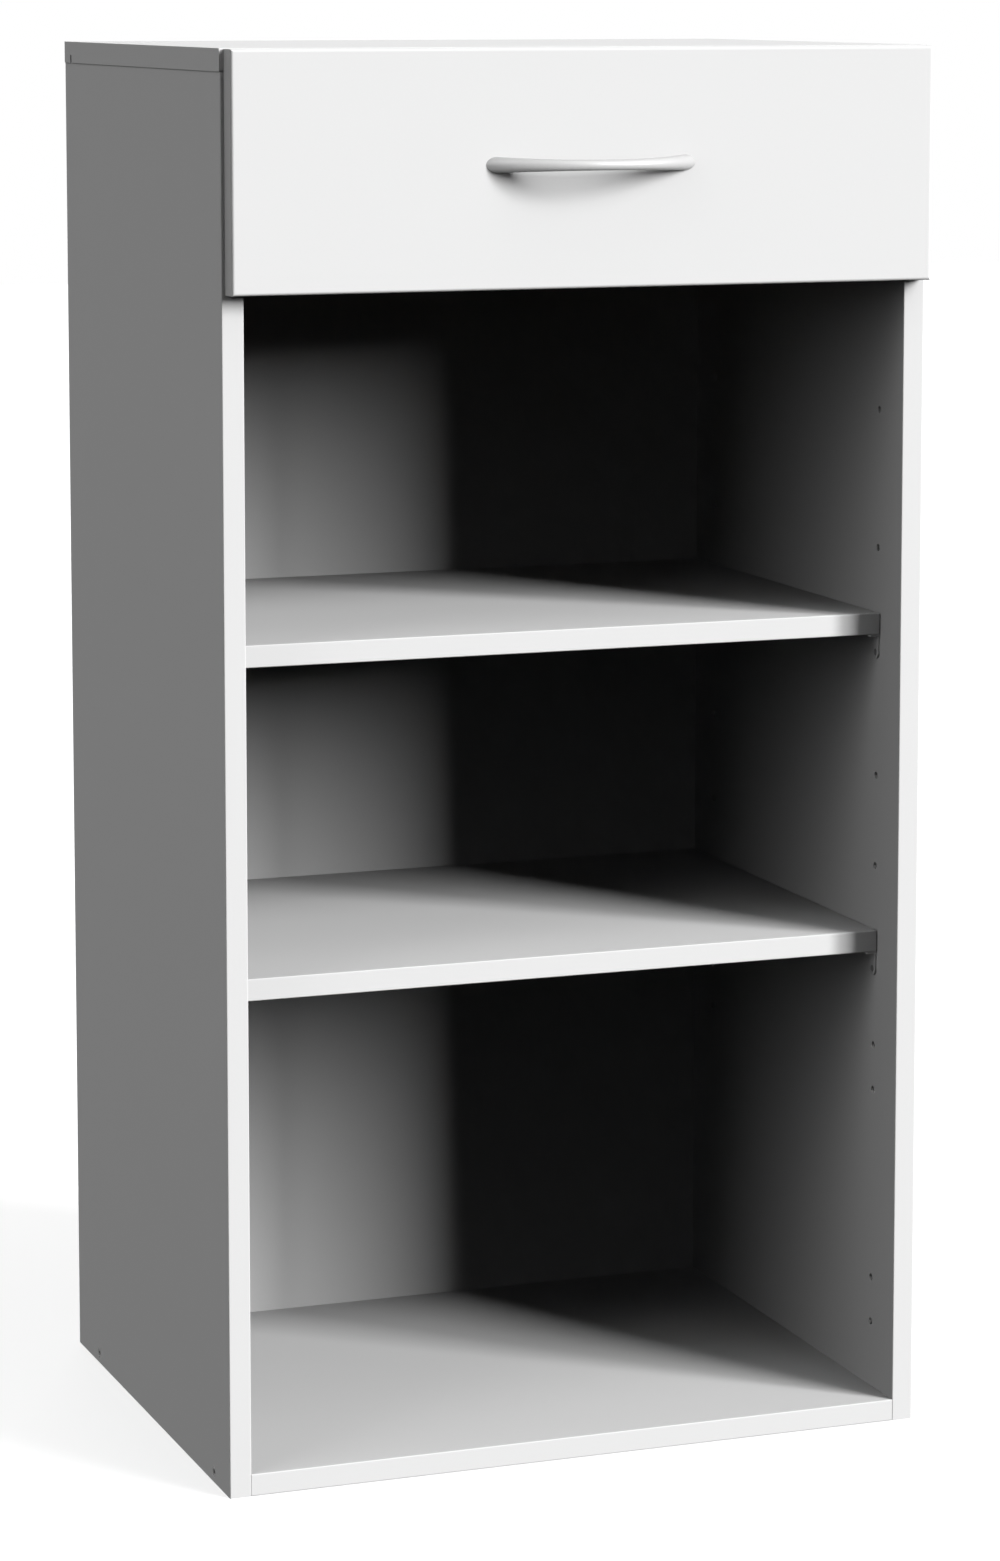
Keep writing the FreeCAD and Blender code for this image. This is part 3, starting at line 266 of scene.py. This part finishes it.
def board(name, white, raw_faces=(), lines=()):
    """Laminated board. raw_faces are the (axis, sign, place) of unbanded edges, and lines the
    (axis, place, width) of dark lines: edge band joints, and painted shade under an overhang."""
    pearl_depth = 0.012 * MM
    raw_roughness, raw_height = 0.85, 12.0
    tree = Tree(name)
    tone, roughness, height = melamine_face(tree, white)
    # Each line darkens the tone; the seam line under the top is painted shade, the band lines are
    # joints.
    for letter, place, width in lines:
        line = tree.math("MULTIPLY", near(tree, letter, place, width), lying_along(tree, letter))
        tone = tree.math("MULTIPLY", tone, tree.scaled(line, -LINE_DARKENING, 1.0))
    colour = tree.grey(tone)
    if raw_faces:
        raw = 0.0
        for letter, sign, place in raw_faces:
            turned, close = facing(tree, letter, sign), near(tree, letter, place, RAW_REACH)
            raw = tree.math("MAXIMUM", raw, tree.math("MULTIPLY", turned, close))
        chip_colour, fines = raw_chipboard(tree)
        colour = tree.mix(raw, colour, chip_colour)
        roughness = tree.math("MAXIMUM", roughness, tree.math("MULTIPLY", raw, raw_roughness))
        height = tree.scaled(tree.math("MULTIPLY", raw, fines), raw_height, height)
    return tree.finish(colour, roughness, tree.bump(height, pearl_depth),
                       Specular_IOR_Level=BOARD_SHEEN)


def hardboard(name, letter, raw_sign):
    """Thin fibreboard, lacquered white on one side and raw brown on the other and at its edges."""
    fibre_size, fibre_height, depth = 1.1 * MM, 2.5, 0.015 * MM
    cloud_size, cloud_strength = 35 * MM, 0.35
    raw_roughness = 0.75
    tree = Tree(name)
    tone, roughness, pearl = melamine_face(tree, LACQUER_WHITE)
    white_side = facing(tree, letter, -raw_sign)
    brown_side = tree.scaled(white_side, -1.0, 1.0)
    fibre = tree.noise(fibre_size, detail=4.0, roughness=0.75)
    cloud = tree.math("MULTIPLY", tree.noise(cloud_size, detail=3.0), cloud_strength)
    brown = tree.mix(cloud, tree.mix(fibre, FIBRE_BROWN, FIBRE_PALE), FIBRE_DARK)
    colour = tree.mix(white_side, brown, tree.grey(tone))
    roughness = tree.math("MAXIMUM", roughness, tree.math("MULTIPLY", brown_side, raw_roughness))
    height = tree.scaled(brown_side, tree.math("MULTIPLY", fibre, fibre_height), pearl)
    return tree.finish(colour, roughness, tree.bump(height, depth), Specular_IOR_Level=BOARD_SHEEN)


def satin_metal(name, tone, roughness, grain=(1.0, 1.0, 1.0), metallic=1.0, sheen=METAL_SHEEN):
    """Metal with fine scratches; grain is their density along the three axes."""
    scratch_size, scratch_tone, scratch_depth = 0.25 * MM, 0.10, 0.004 * MM
    patch_size = 9 * MM
    scratch_roughness, patch_roughness = 0.10, 0.06
    tree = Tree(name)
    scratches = tree.noise(scratch_size, detail=3.0, density=grain, roughness=0.6)
    patches = tree.noise(patch_size)
    colour = tree.grey(tree.varied(tone, scratches, scratch_tone * tone))
    rough = tree.scaled(scratches, scratch_roughness, roughness - scratch_roughness / 2)
    rough = tree.varied(rough, patches, patch_roughness)
    return tree.finish(colour, rough, tree.bump(scratches, scratch_depth), metallic,
                       Specular_IOR_Level=sheen)


def powder_coat(name):
    """White epoxy powder coat of the runners, with its shallow orange peel."""
    peel_size, peel_depth = 1.6 * MM, 0.03 * MM
    grain_size, grain_tone = 0.4 * MM, 0.02
    roughness = 0.33
    tree = Tree(name)
    peel = tree.noise(peel_size, detail=1.0)
    tone = tree.varied(COAT_WHITE, tree.noise(grain_size), grain_tone)
    return tree.finish(tree.grey(tone), roughness, tree.bump(peel, peel_depth))


def support_finish(name, pins):
    """White coated bracket with the bare steel end of its pin riveted through the leg. pins are the
    (y, z) places of the pins, which run along X."""
    peel_size, peel_tone, peel_depth = 0.8 * MM, 0.03, 0.02 * MM
    roughness = 0.36
    tree = Tree(name)
    peel = tree.noise(peel_size, detail=1.0)
    bare = 0.0
    for y, z in pins:
        across = tree.math("SUBTRACT", tree.axis(tree.place, "Y"), y)
        above = tree.math("SUBTRACT", tree.axis(tree.place, "Z"), z)
        squares = tree.math("MULTIPLY_ADD", across, across, tree.math("MULTIPLY", above, above))
        inside = tree.math("LESS_THAN", tree.math("SQRT", squares), SUPPORT_PIN_RADIUS)
        bare = tree.math("MAXIMUM", bare, inside)
    coat = tree.grey(tree.varied(COAT_WHITE, peel, peel_tone))
    colour = tree.mix(bare, coat, (PIN_STEEL, PIN_STEEL, PIN_STEEL))
    return tree.finish(colour, roughness, tree.bump(peel, peel_depth), bare)


def nylon(name):
    """Moulded white nylon, slightly translucent and a little uneven."""
    mottle_size, mottle_depth = 2.5 * MM, 0.01 * MM
    smoothest, mottle_roughness = 0.35, 0.15
    tree = Tree(name)
    mottle = tree.noise(mottle_size, detail=3.0)
    roughness = tree.scaled(mottle, mottle_roughness, smoothest)
    return tree.finish(tree.mix(mottle, *NYLON_TONES), roughness, tree.bump(mottle, mottle_depth),
                       Subsurface_Weight=0.15, Subsurface_Scale=1.0 * MM)


def beech(name):
    """Beech dowels with their fine grain."""
    grain_size, grain_depth = 0.5 * MM, 0.05 * MM
    roughness = 0.65
    tree = Tree(name)
    grain = tree.noise(grain_size, detail=3.0, roughness=0.7)
    return tree.finish(tree.mix(grain, *BEECH_TONES), roughness, tree.bump(grain, grain_depth))


# ------------------------------------------------------------------ what wears which finish
def dress(material, *names):
    for name in names:
        mesh = NODES[name].data
        mesh.materials.clear()
        mesh.materials.append(material)


def plane_of(node, letter, sign):
    """Place of a node's outermost plane along an axis."""
    low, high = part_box(node)
    return (high if sign > 0 else low)["XYZ".index(letter)]


def raw_end(node, letter, sign):
    """The unbanded edge on a node's outermost plane along an axis."""
    return letter, sign, plane_of(node, letter, sign)


def band_line(node, letter, sign):
    """The joint line of the edge band on a node's outermost plane along an axis."""
    return letter, plane_of(node, letter, sign) - sign * BAND, BAND_LINE


def dress_boards():
    for side in ("left_side_panel", "right_side_panel"):
        raw = [raw_end(side, "Y", 1), raw_end(side, "Z", -1)]
        # The line at the top plane is painted shade under the top panel's overhang.
        lines = [band_line(side, "Y", -1), ("Z", plane_of(side, "Z", 1), SEAM_SHADE)]
        dress(board(side + "_finish", MELAMINE_WHITE, raw, lines), side)

    raw = [raw_end("top_panel", "Y", 1)]
    lines = [band_line("top_panel", "X", -1), band_line("top_panel", "X", 1),
             band_line("top_panel", "Y", -1)]
    dress(board("top_panel_finish", MELAMINE_WHITE, raw, lines), "top_panel")

    raw = [raw_end("bottom_panel", "Y", 1)]
    lines = [band_line("bottom_panel", "Y", -1)]
    dress(board("bottom_panel_finish", MELAMINE_WHITE, raw, lines), "bottom_panel")

    raw = [raw_end("lower_shelf", "Y", 1), raw_end("lower_shelf", "X", -1),
           raw_end("lower_shelf", "X", 1)]
    lines = [band_line("lower_shelf", "Y", -1)]
    dress(board("shelf_finish", MELAMINE_WHITE, raw, lines), "lower_shelf", "upper_shelf")

    lines = [band_line("drawer_front", "Y", 1)]
    dress(board("drawer_front_finish", MELAMINE_WHITE, (), lines), "drawer_front")

    raw = [raw_end("left_drawer_side", "Y", 1)]
    dress(board("drawer_board_finish", LACQUER_WHITE, raw), "left_drawer_side",
          "right_drawer_side", "drawer_back")

    dress(hardboard("back_panel_finish", "Y", 1), "back_panel")
    dress(hardboard("drawer_bottom_finish", "Z", -1), "drawer_bottom")


def dress_fittings():
    dress(satin_metal("handle_finish", HANDLE_TONE, HANDLE_ROUGHNESS, HANDLE_GRAIN,
                      HANDLE_METALLIC, HANDLE_SHEEN), "drawer_handle")
    dress(satin_metal("phosphated_steel", tone=0.10, roughness=0.50), "bottom_screws")
    dress(satin_metal("zinc_plated_steel", tone=0.55, roughness=0.34),
          "back_panel_nails", "cabinet_runner_screws", "cabinet_roller_pins", "handle_screws",
          "drawer_back_screws", "drawer_bottom_nails", "drawer_runner_screws",
          "drawer_roller_pins", "top_cam_bolts", "drawer_cam_bolts")
    for name in ("lower_shelf_supports", "upper_shelf_supports"):
        low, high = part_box(name)
        pin_z = low[2] + SUPPORT_END_RADIUS
        pins = [(y, pin_z) for y in (low[1] + SUPPORT_END_RADIUS, high[1] - SUPPORT_END_RADIUS)]
        dress(support_finish(name + "_finish", pins), name)
    dress(satin_metal("die_cast_zinc", tone=0.42, roughness=0.48), "top_cams", "drawer_cams")
    dress(powder_coat("runner_powder_coat"), "left_cabinet_runner", "right_cabinet_runner",
          "left_drawer_runner", "right_drawer_runner")
    dress(nylon("roller_nylon_finish"), "left_cabinet_roller", "right_cabinet_roller",
          "left_drawer_roller", "right_drawer_roller")
    dress(beech("beech_finish"), "bottom_dowels", "top_dowels", "drawer_dowels")


# ------------------------------------------------------------------ stage, light, camera
def background_rays(tree):
    """1 for the rays that see the background straight from the camera, and 1 for those that see it
    mirrored or through glass."""
    path = tree.add("ShaderNodeLightPath").outputs
    mirrored = tree.math("MAXIMUM", path["Is Glossy Ray"], path["Is Transmission Ray"])
    return path["Is Camera Ray"], mirrored


def up_to(tree, bounces):
    """1 for light paths with at most so many matt bounces, else 0."""
    depth = tree.add("ShaderNodeLightPath").outputs["Diffuse Depth"]
    return tree.math("LESS_THAN", depth, bounces + 0.5)


def make_floor():
    """Pale floor that the camera sees as white where no shadow falls, and mirrors see as white."""
    mesh = bpy.data.meshes.new("floor")
    corners = [(x * FLOOR_HALF, y * FLOOR_HALF, 0) for x, y in ((-1, -1), (1, -1), (1, 1), (-1, 1))]
    mesh.from_pydata(corners, [], [(0, 1, 2, 3)])
    floor = bpy.data.objects.new("floor", mesh)
    bpy.context.scene.collection.objects.link(floor)
    tree = Tree("floor_paint")
    diffuse = tree.add("ShaderNodeBsdfDiffuse")
    tree.feed(diffuse.inputs["Color"], (FLOOR_TONE, FLOOR_TONE, FLOOR_TONE))
    seen, mirrored = background_rays(tree)
    glow = tree.add("ShaderNodeEmission")
    strength = tree.math("MAXIMUM", tree.math("MULTIPLY", seen, FLOOR_GLOW), mirrored)
    tree.feed(glow.inputs["Strength"], strength)
    both = tree.add("ShaderNodeAddShader")
    tree.feed(both.inputs[0], diffuse.outputs[0])
    tree.feed(both.inputs[1], glow.outputs[0])
    tree.show(both.outputs[0], "ShaderNodeOutputMaterial")
    mesh.materials.append(tree.material)


def make_world():
    """White background for the camera and for mirrors, and a weak even light for matt surfaces."""
    world = bpy.data.worlds.new("studio")
    bpy.context.scene.world = world
    world.use_nodes = True
    tree = Tree.over(world.node_tree)
    sky = tree.add("ShaderNodeBackground")
    tree.feed(sky.inputs["Color"], (1.0, 1.0, 1.0))
    background = tree.math("MAXIMUM", *background_rays(tree))
    ambient = tree.math("MULTIPLY", up_to(tree, 1), AMBIENT)
    tree.feed(sky.inputs["Strength"], tree.math("MAXIMUM", background, ambient))
    tree.show(sky.outputs[0], "ShaderNodeOutputWorld")
    world.cycles.sampling_method = "NONE"


def make_lamp(name, azimuths, elevations, level):
    """Far soft panel whose light reaches matt surfaces directly, and not by way of others."""
    around = math.radians(sum(azimuths) / 2)
    up = math.radians(sum(elevations) / 2)
    half_turn = math.radians(azimuths[1] - azimuths[0]) / 2
    half_rise = math.radians(elevations[1] - elevations[0]) / 2
    out = math.cos(up)
    direction = Vector((math.sin(around) * out, -math.cos(around) * out, math.sin(up)))

    data = bpy.data.lights.new(name, "AREA")
    data.shape = "RECTANGLE"
    data.size = 2 * LAMP_DISTANCE * out * math.tan(half_turn)
    data.size_y = 2 * LAMP_DISTANCE * math.tan(half_rise)
    solid_angle = 4 * math.sin(half_turn) * out * math.sin(half_rise)
    data.energy = level * math.pi ** 2 * data.size * data.size_y / solid_angle
    data.cycles.use_multiple_importance_sampling = False
    data.use_nodes = True
    tree = Tree.over(data.node_tree)
    glow = tree.add("ShaderNodeEmission")
    tree.feed(glow.inputs["Strength"], up_to(tree, 0))
    tree.show(glow.outputs[0], "ShaderNodeOutputLight")

    lamp = bpy.data.objects.new(name, data)
    bpy.context.scene.collection.objects.link(lamp)
    lamp.location = LAMP_AIM + direction * LAMP_DISTANCE
    lamp.rotation_euler = direction.to_track_quat("Z", "Y").to_euler()
    lamp.visible_camera = False


def make_camera():
    data = bpy.data.cameras.new("camera")
    data.sensor_width = SENSOR
    data.lens = FOCAL_PIXELS / IMAGE_HEIGHT * SENSOR
    data.shift_y = CAMERA_SHIFT_Y
    camera = bpy.data.objects.new("camera", data)
    bpy.context.scene.collection.objects.link(camera)
    camera.location = CAMERA_PLACE
    turn, lean = math.radians(-CAMERA_YAW), math.radians(90 - CAMERA_TILT)
    camera.rotation_euler = (lean, 0.0, turn)
    bpy.context.scene.camera = camera


dress_boards()
dress_fittings()
make_floor()
make_world()
for lamp_values in LAMPS:
    make_lamp(*lamp_values)
make_camera()
bpy.context.scene.view_settings.view_transform = "Standard"
